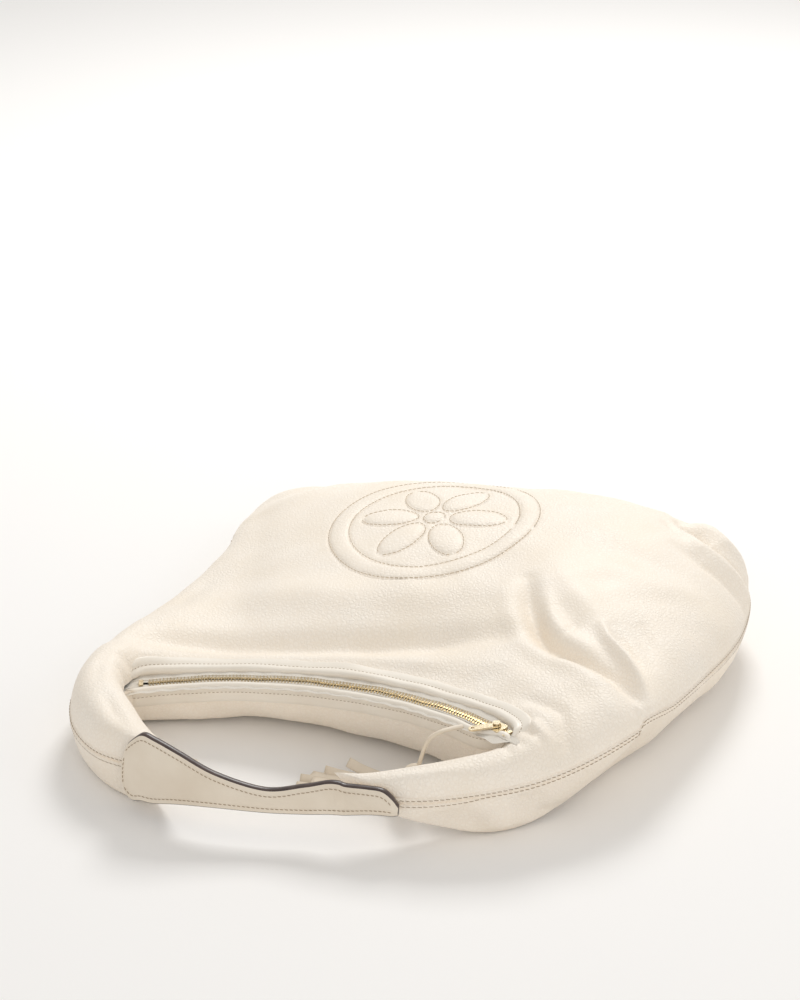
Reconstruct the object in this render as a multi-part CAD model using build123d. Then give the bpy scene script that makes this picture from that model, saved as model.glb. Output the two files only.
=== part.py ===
from build123d import *
from collections import namedtuple
from math import cos, log, pi, radians, sin, tan
import os

# Hobo bag lying on its back panel: +Z up, +X along the width, +Y from the strap towards the
# bottom of the bag. The origin is on the floor under the middle of the bounding box.

# ---- driving dimensions, mm ----
ORIGIN = (2.0, 7.5, -0.2)    # drawing position of the row's origin, under the middle of the box
LEATHER = 2.0
LINING = 0.8
PADDING = 2.4             # foam under the stitched emblem
LAYER_GAP = 0.35          # air between two layers of the wall
SEAM_GAP = 0.3            # half the gap between the two halves at a seam

# zip: an arc in a plane that rises towards +X
ZIP_CENTRE = (-17.0, -370.0)
ZIP_RADIUS = 293.0
ZIP_HALF_ANGLE = 28.2     # degrees each side of +Y
ZIP_MID_Z = 46.0
ZIP_TILT = 5.7            # degrees about Y
TOOTH_PITCH = 2.4
TOOTH_LENGTH = 1.5
TOOTH_DEPTH = 3.2
TOOTH_HEIGHT = 2.4
TOOTH_CHANNEL = 0.6       # half the slot between the two rows
TAPE_WIDTH = 11.0
TAPE_THICKNESS = 0.8
FACING_START = 7.0
FACING_WIDTH = 10.0
FACING_THICKNESS = 2.0
FRONT_MOUTH_OFFSET = 19.0
BACK_MOUTH_OFFSET = -17.0
SLIDER_ANGLE = 64.2       # resting place on the arc, degrees from +X
SLIDER_WIDTH = 10.4
SLIDER_LENGTH = 12.0
SLIDER_PLATE = 1.0
SLIDER_CLEARANCE = 0.4
SLIDER_POST = 0.7
PIN_RADIUS = 1.2
PIN_LENGTH = 2.0

# handle: hinge line across both arms where the strap lifts
FOLD_Y = -129.0
FOLD_Z = 30.0
FOLD_HALF_GAP = 0.2
FOLD_HALF_WEDGE = 26.0    # degrees, half of the clearance above the hinge line

# strap pad
PAD_LEATHER = 1.6
PAD_CORE = 3.0

# tassel
STRIP_THICKNESS = 1.3
STRIP_TIP_WIDTH = 6.0
STRIP_ROOT_WIDTH = 2.2

# Ring stations run round the strap hole from one end of the strap to the other.
# seam: point on the outer seam. mouth: point on the inner edge, or an angle on the zip arc.
# crest and floor: highest and lowest level of the cross-section. crest_at: where the crest
# lies between the inner edge (0) and the seam (1).
Station = namedtuple("Station", "seam mouth crest floor crest_at")
STATIONS = [
    Station((-112, -196, 30), (-88, -188, 36), 46, 10, 0.50),    # left strap end
    Station((-140, -186, 27), (-110, -174, 38), 50, 2, 0.50),
    Station((-168, -168, 26), (-130, -158, 38), 53, 0, 0.50),
    Station((-187, -140, 27), (-148, -142, 37), 54, 0, 0.50),    # left arm
    Station((-194, -102, 28), (-158, -131, 33), 53, 2, 0.50),
    Station((-195, -50, 27), 118.0, 50, 2, 0.50),                # left end of the zip
    Station((-196, 20, 22), 113.0, 44, 0, 0.50),                 # left side
    Station((-201, 100, 21), 108.0, 43, 0, 0.50),
    Station((-203, 165, 22), 104.0, 47, 0, 0.52),                # left bottom corner
    Station((-176, 202, 28), 100.0, 57, 0, 0.60),
    Station((-110, 213, 36), 96.0, 71, 0, 0.66),                 # bottom
    Station((-20, 221, 42), 90.5, 82, 0, 0.68),
    Station((70, 227, 44), 85.0, 90, 0, 0.68),
    Station((142, 217, 42), 80.0, 91, 0, 0.64),
    Station((190, 180, 38), 75.5, 85, 0, 0.60),                  # right bottom corner
    Station((207, 110, 38), 71.0, 79, 0, 0.56),
    Station((203, 20, 44), 66.5, 74, 0, 0.55),                   # right side
    Station((193, -50, 48), 62.0, 68, 2, 0.50),                  # right end of the zip
    Station((173, -97, 44), (108, -130, 46), 61, 2, 0.50),
    Station((147, -131, 39), (90, -144, 46), 57, 0, 0.50),       # right arm
    Station((112, -157, 35), (66, -158, 44), 52, 0, 0.50),
    Station((76, -170.5, 32), (46, -166, 40), 46, 10, 0.50),     # right strap end
]
SECTION_STEPS = [0.0, 0.04, 0.15, 0.34, 0.55, 0.75, 0.9, 0.97, 1.0]
FRONT_FULLNESS = 2.4
BACK_FULLNESS = 4.0


def zip_plane_z(x):
    """Height of the zip's plane above the floor."""
    return ZIP_MID_Z + (x - ZIP_CENTRE[0]) * tan(radians(ZIP_TILT))


def zip_point(angle, offset=0.0, lift=0.0):
    """Point on the zip arc, or offset outwards from it, in the bag's frame."""
    reach = ZIP_RADIUS + offset
    x = ZIP_CENTRE[0] + reach * cos(radians(angle))
    return (x, ZIP_CENTRE[1] + reach * sin(radians(angle)), zip_plane_z(x) + lift)


def inner_edge(station, front):
    """Inner edge of one leather half: at the zip, or along the strap hole on an arm."""
    if isinstance(station.mouth, tuple):
        return Vector(*station.mouth)
    if front:
        return Vector(*zip_point(station.mouth, FRONT_MOUTH_OFFSET, 3.0))
    return Vector(*zip_point(station.mouth, BACK_MOUTH_OFFSET, -3.0))


def bulge(place, peak_at, fullness):
    """A rounded rise from 0 at both ends to 1 at peak_at; a greater fullness is flatter."""
    warped = place ** (log(0.5) / log(peak_at))
    return max(0.0, 1.0 - abs(2.0 * warped - 1.0) ** fullness) ** 0.5


def section_points(station, front, offset):
    """Cross-section of one half, offset inwards, from the inner edge to the seam."""
    edge = inner_edge(station, front)
    seam = Vector(*station.seam)
    chord = Vector(seam.X - edge.X, seam.Y - edge.Y, 0)
    inset = offset * 1.2 / chord.length
    gap = SEAM_GAP if front else -SEAM_GAP
    peak_at = station.crest_at if front else 0.5
    fullness = FRONT_FULLNESS if front else BACK_FULLNESS
    limit = station.crest - offset if front else station.floor + offset
    points = []
    for step in SECTION_STEPS:
        place = inset + step * (1 - 2 * inset)
        share = bulge(step, peak_at, fullness)
        level = (edge.Z * (1 - place) + seam.Z * place + gap) * (1 - share) + limit * share
        points.append(Vector(edge.X + chord.X * place, edge.Y + chord.Y * place, level))
    return points


def layer(front, offset, thickness, stations):
    """One leather or cloth half of the wall, open along the inner edge and the seam."""
    faces = []
    for station in stations:
        outer = section_points(station, front, offset)
        inner = section_points(station, front, offset + thickness)
        ends = [Line(outer[-1], inner[-1]), Line(inner[0], outer[0])]
        edges = [Spline(*outer), ends[0], Spline(*inner[::-1]), ends[1]]
        faces.append(Face(Wire(edges)))
    return loft(faces, ruled=True)


def stuffing(offset, stations):
    """Soft filling of an arm: closed between the two leather halves, up to the hinge line."""
    faces = []
    for station in stations:
        top = section_points(station, True, offset)
        bottom = section_points(station, False, offset)
        ends = [Line(top[-1], bottom[-1]), Line(bottom[0], top[0])]
        edges = [Spline(*top), ends[0], Spline(*bottom[::-1]), ends[1]]
        faces.append(Face(Wire(edges)))
    pieces = (loft(faces, ruled=True) - fold_gap()).solids()
    return min(pieces, key=lambda piece: piece.center().Y)


def fold_gap():
    """Clearance along the hinge line: a slit below it and a wedge above it."""
    reach = 70.0
    spread = reach * tan(radians(FOLD_HALF_WEDGE))
    outline = [
        (FOLD_Y - FOLD_HALF_GAP, FOLD_Z - reach), (FOLD_Y + FOLD_HALF_GAP, FOLD_Z - reach),
        (FOLD_Y + FOLD_HALF_GAP, FOLD_Z), (FOLD_Y + spread, FOLD_Z + reach),
        (FOLD_Y - spread, FOLD_Z + reach), (FOLD_Y - FOLD_HALF_GAP, FOLD_Z),
    ]
    profile = make_face(Polyline([(0, y, z) for y, z in outline], close=True))
    return extrude(profile, amount=260, dir=(1, 0, 0), both=True)


def split_at_fold(ring):
    """Left arm, body and right arm of a ring that runs from strap end to strap end."""
    pieces = (ring - fold_gap()).solids()
    body = max(pieces, key=lambda piece: piece.center().Y)
    arms = [piece for piece in pieces if piece is not body]
    left = min(arms, key=lambda piece: piece.center().X)
    right = max(arms, key=lambda piece: piece.center().X)
    return left, body, right


def zip_location():
    """Zip frame: origin at the arc's centre, +Z out of the zip's plane."""
    return Location((ZIP_CENTRE[0], ZIP_CENTRE[1], ZIP_MID_Z), (0, -ZIP_TILT, 0))


def arc_band(inner_radius, outer_radius, half_angle, bottom, top):
    """Flat curved strip along the zip, in the zip's frame."""
    start = 90 - half_angle
    edges = [
        CenterArc((0, 0), inner_radius, start, 2 * half_angle),
        CenterArc((0, 0), outer_radius, start, 2 * half_angle),
    ]
    ends = [Line(edges[0] @ 0, edges[1] @ 0), Line(edges[0] @ 1, edges[1] @ 1)]
    face = make_face([edges[0], ends[1], edges[1], ends[0]])
    return Pos(0, 0, bottom) * extrude(face, amount=top - bottom)


def on_zip(angle, radius, shape):
    """Place a shape at an angle of the zip arc, its +X outwards and +Y along the arc."""
    return Rot(0, 0, angle) * Pos(radius, 0, 0) * shape


def zip_tape(side):
    """One woven tape, from the teeth outwards. side is +1 at the front, -1 at the back."""
    near = TOOTH_CHANNEL + TOOTH_DEPTH + 0.02
    radii = sorted((ZIP_RADIUS + side * near, ZIP_RADIUS + side * (near + TAPE_WIDTH)))
    half_angle = ZIP_HALF_ANGLE - (0.2 if side > 0 else 2.8)
    return zip_location() * arc_band(*radii, half_angle, -TAPE_THICKNESS / 2, TAPE_THICKNESS / 2)


def zip_teeth(side):
    """One row of teeth; the two rows are half a pitch apart."""
    step = TOOTH_PITCH / ZIP_RADIUS * 180 / pi
    count = int(2 * (ZIP_HALF_ANGLE - 1.5) / step)
    start = 90 - (ZIP_HALF_ANGLE - 1.5) + (step / 2 if side < 0 else 0)
    radius = ZIP_RADIUS + side * (TOOTH_CHANNEL + TOOTH_DEPTH / 2)
    tooth = Box(TOOTH_DEPTH, TOOTH_LENGTH, TOOTH_HEIGHT)
    row = [zip_location() * on_zip(start + step * i, radius, tooth) for i in range(count)]
    return Compound(children=row)


def zip_stops():
    """Metal stops past both ends of the teeth."""
    stop = Box(2 * (TOOTH_CHANNEL + TOOTH_DEPTH), 3.0, TOOTH_HEIGHT + 0.6)
    ends = [90 - ZIP_HALF_ANGLE + 0.5, 90 + ZIP_HALF_ANGLE - 0.5]
    return Compound(children=[zip_location() * on_zip(end, ZIP_RADIUS, stop) for end in ends])


def zip_facing(side):
    """Turned leather band beside the teeth, on top of the tape."""
    near = ZIP_RADIUS + side * FACING_START
    radii = sorted((near, near + side * FACING_WIDTH))
    base = TAPE_THICKNESS / 2 + 0.05
    half_angle = ZIP_HALF_ANGLE - (0.5 if side > 0 else 3.6)
    return zip_location() * arc_band(*radii, half_angle, base, base + FACING_THICKNESS)


def zip_slider():
    """Slider: two plates round the teeth, joined by the post between the rows, and a swivel pin."""
    half_teeth = TOOTH_HEIGHT / 2 + SLIDER_CLEARANCE
    plate = fillet(Box(SLIDER_WIDTH, SLIDER_LENGTH, SLIDER_PLATE).edges().filter_by(Axis.Z), 2.0)
    plate_level = half_teeth + SLIDER_PLATE / 2
    body = Pos(0, 0, plate_level) * plate + Pos(0, 0, -plate_level) * plate
    body += Box(SLIDER_POST, SLIDER_LENGTH / 2, 2 * half_teeth + SLIDER_PLATE)
    deck = half_teeth + SLIDER_PLATE
    body += Pos(0, 0, deck + PIN_LENGTH / 2) * Cylinder(PIN_RADIUS, PIN_LENGTH)
    body += Pos(0, 0, deck + PIN_LENGTH + 0.5) * Cylinder(PIN_RADIUS + 1.4, 1.0)
    return zip_location() * on_zip(SLIDER_ANGLE, ZIP_RADIUS, body)


# The tassel swivels on the slider's pin, crosses the back facing and lies on the floor.
PULLER_HEADING = 213.0    # degrees from +X
PULLER_LENGTH = 16.0
PULLER_THICKNESS = 1.2
PULLER_WIDTH = 5.6
PULLER_PLAY = 0.12
THONG_HOLE_RADIUS = 1.3
THONG_WIDTH = 2.4
CORD_POINTS = [
    (90.2, -116.9, 62.4), (77, -130.5, 62), (72, -133.5, 56), (68, -133.5, 42), (66, -133, 35),
]
CORD_BEND_RADII = [3.0, 4.0, 2.0]
CAP_SECTIONS = [(0, 3.2), (0.35, 5.2), (1, 6.2)]    # share of the length, radius
CAP_START = Vector(65.9, -133, 34.8)
CAP_END = Vector(53, -132, 18)
STRIP_ROOT = Vector(51, -131.8, 14.5)
STRIP_TIPS = [
    (-14, -141), (-19, -134), (-20, -127), (-10, -116), (-16, -138), (-22, -130), (-9, -120),
]
LOWER_STRIPS = 4


def zip_puller():
    """Metal tab with an eye that turns on the slider's pin."""
    outline = Pos(PULLER_LENGTH / 2, 0) * SlotCenterToCenter(PULLER_LENGTH, PULLER_WIDTH)
    outline -= Circle(PIN_RADIUS + PULLER_PLAY)
    outline -= Pos(PULLER_LENGTH, 0) * Circle(THONG_HOLE_RADIUS)
    deck = TOOTH_HEIGHT / 2 + SLIDER_CLEARANCE + SLIDER_PLATE
    level = deck + (PIN_LENGTH - PULLER_THICKNESS) / 2
    tab = Pos(0, 0, level) * extrude(outline, amount=PULLER_THICKNESS)
    turned = Rot(0, 0, PULLER_HEADING - SLIDER_ANGLE) * tab
    return zip_location() * on_zip(SLIDER_ANGLE, ZIP_RADIUS, turned)


def tassel_cord():
    """Leather thong from the puller over the facing and down to the tassel's cap."""
    path = FilletPolyline(*CORD_POINTS, radius=CORD_BEND_RADII)
    section = Plane(origin=path @ 0, z_dir=path % 0) * Rectangle(THONG_WIDTH, THONG_WIDTH)
    return sweep(section, path=path)


def tassel_cap():
    """Bound leather cap that holds the strips."""
    length = (CAP_END - CAP_START).length
    base = Plane(origin=CAP_START, z_dir=(CAP_END - CAP_START).normalized())
    return loft([base * Pos(0, 0, length * share) * Circle(radius) for share, radius in CAP_SECTIONS])


def tassel_strips():
    """Leather strips fanned over the floor, in a lower and an upper layer."""
    strips = []
    for number, (tip_x, tip_y) in enumerate(STRIP_TIPS):
        lower = number < LOWER_STRIPS
        place = 1.5 - number if lower else LOWER_STRIPS + 1.0 - number
        root = STRIP_ROOT + Vector(0, -place * (STRIP_ROOT_WIDTH + 0.4), 0 if lower else 2.4)
        tip = Vector(tip_x, tip_y, 0.8 if lower else 3.4)
        side = Vector(0, 0, 1).cross(tip - root).normalized()
        corners = [
            root + side * STRIP_ROOT_WIDTH / 2, tip + side * STRIP_TIP_WIDTH / 2,
            tip - side * STRIP_TIP_WIDTH / 2, root - side * STRIP_ROOT_WIDTH / 2,
        ]
        face = make_face(Polyline(corners, close=True))
        strips.append(extrude(face, amount=STRIP_THICKNESS, dir=(0, 0, 1)))
    return Compound(children=strips)


# The pad's stations: (x, y, lower edge, upper edge), from the left arm to the right arm.
PAD_STATIONS = [
    (-122, -207.5, 5, 48), (-104, -211, 6, 57), (-88, -212, 11, 59),
    (-70, -212, 14.5, 53), (-44, -209, 17, 41), (-12, -201, 15.5, 34),
    (20, -190, 16.5, 40.5), (48, -184.5, 21, 43), (72, -181.5, 24, 33),
]
PAD_LEAN = 0.12


def pad_layer(near, far):
    """Slab of the strap pad between two distances from its outside face."""
    faces = []
    path = Spline(*[(x, y) for x, y, _, _ in PAD_STATIONS])
    for x, y, low, high in PAD_STATIONS:
        tangent = path.tangent_at(path.param_at_point((x, y)))
        inward = Vector(-tangent.Y, tangent.X, 0)
        foot = Vector(x, y, low)
        head = Vector(x, y, high) + inward * (high - low) * PAD_LEAN
        outside = [foot + inward * near, head + inward * near]
        inside = [head + inward * far, foot + inward * far]
        faces.append(make_face(Polyline(outside + inside, close=True)))
    return loft(faces, ruled=True)


EMBLEM_PLACE = (-29, 113)
EMBLEM_RADIUS = 78.0
EMBLEM_RING_WIDTH = 15.0
PETALS = 6
PETAL_TURN = 8.0          # degrees by which the first petal is turned
PETAL_DISTANCE = 33.5
PETAL_HALF_LENGTH = 21.5
PETAL_HALF_WIDTH = 12.0
EMBLEM_CENTRE_RADIUS = 8.0


def emblem_outline():
    """Six oval petals inside a ring, centred on the origin."""
    outline = Circle(EMBLEM_RADIUS) - Circle(EMBLEM_RADIUS - EMBLEM_RING_WIDTH)
    for petal in range(PETALS):
        turn = Rot(0, 0, 360 / PETALS * petal + PETAL_TURN)
        outline += turn * Pos(PETAL_DISTANCE, 0) * Ellipse(PETAL_HALF_LENGTH, PETAL_HALF_WIDTH)
    return outline + Circle(EMBLEM_CENTRE_RADIUS)


def emblem_padding():
    """Foam relief under the front leather."""
    bed = layer(True, LEATHER + LAYER_GAP, PADDING, STATIONS[6:17])
    column = Pos(*EMBLEM_PLACE, 30) * extrude(emblem_outline(), amount=80)
    return Compound(children=(bed & column).solids())


POCKET_PLACE = (-40, 40)
POCKET_LEVEL = 8.0
POCKET_WIDTH = 150.0
POCKET_DEPTH = 100.0
POCKET_THICKNESS = 2.4
POCKET_ZIP_LENGTH = 120.0
POCKET_ZIP_Y = 10.0
POCKET_TAPE_WIDTH = 22.0
POCKET_TOOTH_HEIGHT = 1.6
POCKET_TOOTH_DEPTH = 2.2
POCKET_CLEARANCE = 0.05
POCKET_TEETH_LEVEL = POCKET_LEVEL + 2.1
POCKET_SLIDER_LEVEL = POCKET_LEVEL + 3.9
POCKET_SLIDER_START = 8.0   # from the left end of the teeth
SLIP_POCKET_PLACE = (95, 40)
SLIP_POCKET_WIDTH = 85.0
SLIP_POCKET_DEPTH = 110.0
PATCH_Y = 55.0
PATCH_WIDTH = 56.0
PATCH_DEPTH = 34.0
PATCH_THICKNESS = 1.4


def flat_panel(width, depth, thickness, corner):
    """Flat piece with rounded corners, centred on the origin."""
    return fillet(Box(width, depth, thickness).edges().filter_by(Axis.Z), corner)


def pocket_bag():
    """Zipped pocket on the back lining."""
    return Pos(*POCKET_PLACE, POCKET_LEVEL) * flat_panel(POCKET_WIDTH, POCKET_DEPTH, POCKET_THICKNESS, 6)


def pocket_tape():
    """Tape of the pocket's zip, with a slot for the teeth."""
    slot_width = 2 * (TOOTH_CHANNEL + POCKET_TOOTH_DEPTH)
    tape = Box(POCKET_ZIP_LENGTH + 10, POCKET_TAPE_WIDTH, TAPE_THICKNESS)
    tape -= Box(POCKET_ZIP_LENGTH + 1, slot_width, TAPE_THICKNESS)
    level = POCKET_LEVEL + (POCKET_THICKNESS + TAPE_THICKNESS) / 2 + POCKET_CLEARANCE
    return Pos(POCKET_PLACE[0], POCKET_ZIP_Y, level) * tape


def pocket_teeth():
    """Two rows of teeth of the pocket's zip."""
    tooth = Box(TOOTH_LENGTH, POCKET_TOOTH_DEPTH - 0.1, POCKET_TOOTH_HEIGHT)
    count = int(POCKET_ZIP_LENGTH / TOOTH_PITCH)
    row = []
    for side in (-1, 1):
        for number in range(count):
            x = POCKET_PLACE[0] + (number - (count - 1) / 2) * TOOTH_PITCH
            y = POCKET_ZIP_Y + side * (TOOTH_CHANNEL + POCKET_TOOTH_DEPTH / 2)
            row.append(Pos(x, y, POCKET_TEETH_LEVEL) * tooth)
    return Compound(children=row)


def pocket_slider():
    """Slider of the pocket's zip with its pull tab in one piece."""
    body = flat_panel(9, 6.5, 1.0, 1.5) + Pos(6, 0, 0.9) * flat_panel(16, 4, 1.0, 1.4)
    start = POCKET_PLACE[0] - POCKET_ZIP_LENGTH / 2 + POCKET_SLIDER_START
    return Pos(start, POCKET_ZIP_Y, POCKET_SLIDER_LEVEL) * body


def slip_pocket():
    """Open pocket for a phone beside the zipped one."""
    pocket = flat_panel(SLIP_POCKET_WIDTH, SLIP_POCKET_DEPTH, POCKET_THICKNESS, 6)
    return Pos(*SLIP_POCKET_PLACE, POCKET_LEVEL) * pocket


def lining_patch():
    """Plain leather patch sewn over the zipped pocket."""
    level = POCKET_LEVEL + (POCKET_THICKNESS + PATCH_THICKNESS) / 2 + POCKET_CLEARANCE
    return Pos(POCKET_PLACE[0], PATCH_Y, level) * flat_panel(PATCH_WIDTH, PATCH_DEPTH, PATCH_THICKNESS, 4)


def build():
    body_stations = STATIONS[6:17]
    left_arm = STATIONS[:5]
    right_arm = STATIONS[18:]
    parts = {}
    for name, front in (("front", True), ("back", False)):
        left, body, right = split_at_fold(layer(front, 0, LEATHER, STATIONS))
        parts["left_arm_" + name] = left
        parts["right_arm_" + name] = right
        parts[name + "_panel"] = body
    parts["left_arm_core"] = stuffing(LEATHER + LAYER_GAP, left_arm)
    parts["right_arm_core"] = stuffing(LEATHER + LAYER_GAP, right_arm)
    lining_offset = LEATHER + PADDING + 2 * LAYER_GAP
    parts["lining_front"] = layer(True, lining_offset, LINING, body_stations)
    parts["lining_back"] = layer(False, LEATHER + LAYER_GAP, LINING, body_stations)
    parts["emblem_padding"] = emblem_padding()
    for name, side in (("front", 1), ("back", -1)):
        parts["zip_tape_" + name] = zip_tape(side)
        parts["zip_teeth_" + name] = zip_teeth(side)
        parts["zip_facing_" + name] = zip_facing(side)
    parts["zip_stops"] = zip_stops()
    parts["zip_slider"] = zip_slider()
    parts["zip_puller"] = zip_puller()
    parts["tassel_cord"] = tassel_cord()
    parts["tassel_cap"] = tassel_cap()
    parts["tassel_strips"] = tassel_strips()
    parts["strap_pad_outer"] = pad_layer(0, PAD_LEATHER)
    parts["strap_pad_core"] = pad_layer(PAD_LEATHER + 0.05, PAD_LEATHER + PAD_CORE)
    parts["strap_pad_inner"] = pad_layer(PAD_LEATHER + PAD_CORE + 0.05, 2 * PAD_LEATHER + PAD_CORE)
    parts["pocket_bag"] = pocket_bag()
    parts["pocket_zip_tape"] = pocket_tape()
    parts["pocket_zip_teeth"] = pocket_teeth()
    parts["pocket_zip_slider"] = pocket_slider()
    parts["slip_pocket"] = slip_pocket()
    parts["lining_patch"] = lining_patch()
    return parts


os.makedirs("parts", exist_ok=True)
to_row_frame = Location((-ORIGIN[0], -ORIGIN[1], -ORIGIN[2]))
for node, shape in build().items():
    export_step(shape.moved(to_row_frame), "parts/" + node + ".step")
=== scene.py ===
import math

import bpy
import numpy as np
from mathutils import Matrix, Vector
from mathutils.kdtree import KDTree


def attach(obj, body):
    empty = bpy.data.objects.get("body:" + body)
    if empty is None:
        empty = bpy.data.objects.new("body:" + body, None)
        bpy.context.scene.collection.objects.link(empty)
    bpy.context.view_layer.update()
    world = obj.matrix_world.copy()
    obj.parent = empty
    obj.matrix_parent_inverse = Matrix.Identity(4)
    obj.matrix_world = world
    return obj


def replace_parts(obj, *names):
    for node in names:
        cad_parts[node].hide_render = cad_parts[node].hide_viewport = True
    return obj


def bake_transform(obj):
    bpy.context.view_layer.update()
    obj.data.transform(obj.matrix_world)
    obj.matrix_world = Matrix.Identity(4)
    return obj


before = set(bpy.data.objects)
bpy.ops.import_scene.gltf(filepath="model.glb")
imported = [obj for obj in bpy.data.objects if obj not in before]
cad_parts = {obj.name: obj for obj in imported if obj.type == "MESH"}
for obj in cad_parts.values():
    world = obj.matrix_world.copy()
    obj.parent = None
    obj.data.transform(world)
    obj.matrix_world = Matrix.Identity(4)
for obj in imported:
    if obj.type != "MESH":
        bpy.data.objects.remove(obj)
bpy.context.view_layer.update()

# Shapes below are drawn in millimetres, in the drawing frame of the bag, and moved by SHIFT.
SHIFT = np.array([-2.0, -7.5, 0.2])

# ---- driving dimensions, mm ----
ZIP_CENTRE = (-17.0, -370.0)
ZIP_RADIUS = 293.0
ZIP_HALF_ANGLE = 28.2
ZIP_MID_Z = 46.0
ZIP_SLOPE = math.tan(math.radians(5.7))
TOOTH_PITCH = 2.4
FRONT_MOUTH = 11.5
BACK_MOUTH = -9.0
CLOSED_MOUTH = 0.3       # share of the mouth left open at the zip's right end
TAPE_WIDTH = 14.0
STITCH_PITCH = 3.7
STITCH_LENGTH = 3.0
STITCH_RADIUS = 0.30
STITCH_OFFSET = 3.3      # from the outer seam
FACING_STITCH = (2.9, 2.1, 0.26, -0.05)     # pitch, length, radius, slant
PAD_STITCH = (3.1, 2.3, 0.3)                # pitch, length, radius
EMBLEM_STITCH_RADIUS = 0.25
EMBLEM_CENTRE = np.array([-29.0, 113.0])
EMBLEM_RADIUS = 78.0
RING_WIDTH = 15.0
PETAL_PLACE, PETAL_LENGTH, PETAL_WIDTH = 33.5, 21.5, 12.0
PETAL_TURN = 8           # degrees
PETAL_COUNT = 6
HUB_RADIUS = 8.0
SEAM_STEP = np.array([193.0, -56.0])         # where the right arm meets the body at the seam
SEAM_STEP_HEIGHT = 5.0
SEAM_STEP_HEADING = np.array([-0.394, -0.919])

# Ring stations from strap end to strap end: seam point, inner edge (a point, or an angle on
# the zip arc), crest level, floor level, and where the crest lies between edge and seam.
STATIONS = [
    ((-86, -203, 35), (-60, -197, 44), 45, 32, 0.50),
    ((-112, -201, 30), (-84, -190, 42), 49, 4, 0.50),
    ((-142, -193, 27), (-108, -177, 42), 51, 0, 0.50),
    ((-171, -171, 26), (-128, -160, 42), 54, 0, 0.50),
    ((-190, -140, 27), (-146, -143, 40), 55, 0, 0.50),
    ((-197, -102, 28), (-156, -130, 36), 54, 1, 0.50),
    ((-196, -50, 27), 118.0, 50, 2, 0.48),
    ((-195, 20, 22), 113.0, 45, 0, 0.48),
    ((-198, 100, 21), 108.0, 44, 0, 0.50),
    ((-208, 176, 24), 104.0, 48, 0, 0.52),
    ((-183, 204, 30), 100.0, 60, 0, 0.60),
    ((-110, 216, 36), 96.0, 75, 0, 0.66),
    ((-20, 224, 42), 90.5, 86, 0, 0.68),
    ((70, 230, 44), 85.0, 93, 0, 0.68),
    ((142, 220, 42), 80.0, 95, 0, 0.64),
    ((191, 183, 38), 75.5, 88, 0, 0.60),
    ((209, 112, 38), 71.0, 80, 0, 0.56),
    ((205, 25, 44), 66.5, 75, 0, 0.55),
    ((194, -48, 49), 62.0, 69, 8, 0.50),
    ((173, -97, 45), (110, -128, 48), 62, 3, 0.50),
    ((147, -131, 40), (92, -142, 48), 58, 1, 0.50),
    ((112, -157, 36), (66, -158, 47), 53, 10, 0.50),
    ((76, -172, 32), (44, -168, 44), 47, 20, 0.50),
    ((44, -178, 33), (24, -172, 42), 42, 30, 0.50),
]
BODY_FIRST, BODY_LAST = 6, 18
TIP = len(STATIONS) - 1.0


def zip_point(angle, offset=0.0, lift=0.0):
    """Point of the zip arc, offset outwards and lifted, for an angle or an array of them."""
    turn = np.radians(angle)
    x = ZIP_CENTRE[0] + (ZIP_RADIUS + offset) * np.cos(turn)
    y = ZIP_CENTRE[1] + (ZIP_RADIUS + offset) * np.sin(turn)
    z = ZIP_MID_Z + (x - ZIP_CENTRE[0]) * ZIP_SLOPE + lift
    return np.stack(np.broadcast_arrays(x, y, z), axis=-1)


def edge_points(front):
    """Inner edge at every station."""
    points = []
    for mouth in [station[1] for station in STATIONS]:
        if isinstance(mouth, tuple):
            points.append(mouth)
        else:
            closing = CLOSED_MOUTH if mouth == STATIONS[BODY_LAST][1] else 1.0
            offset = (FRONT_MOUTH if front else BACK_MOUTH) * closing
            points.append(zip_point(mouth, offset, 1.0 if front else 0.5))
    return np.array(points, float)


def smooth_rows(rows, places):
    """Catmull-Rom curve through the rows, at fractional row numbers."""
    rows = np.asarray(rows, float)
    rows = rows.reshape(len(rows), -1)
    padded = np.vstack([2 * rows[0] - rows[1], rows, 2 * rows[-1] - rows[-2]])
    index = np.clip(np.floor(places).astype(int), 0, len(rows) - 2)
    t = (places - index)[:, None]
    p0, p1, p2, p3 = (padded[index + k] for k in range(4))
    return 0.5 * (2 * p1 + (p2 - p0) * t + (2 * p0 - 5 * p1 + 4 * p2 - p3) * t ** 2
                  + (3 * p1 - p0 - 3 * p2 + p3) * t ** 3)


def smoothstep(low, high, value):
    t = np.clip((value - low) / (high - low), 0, 1)
    return t * t * (3 - 2 * t)


def body_share(u):
    """1 over the bag's body, 0 along the strap's arms."""
    started = smoothstep(BODY_FIRST - 1.1, BODY_FIRST + 0.4, u)
    ended = smoothstep(BODY_LAST - 0.4, BODY_LAST + 1.1, u)
    return started * (1 - ended)


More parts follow.
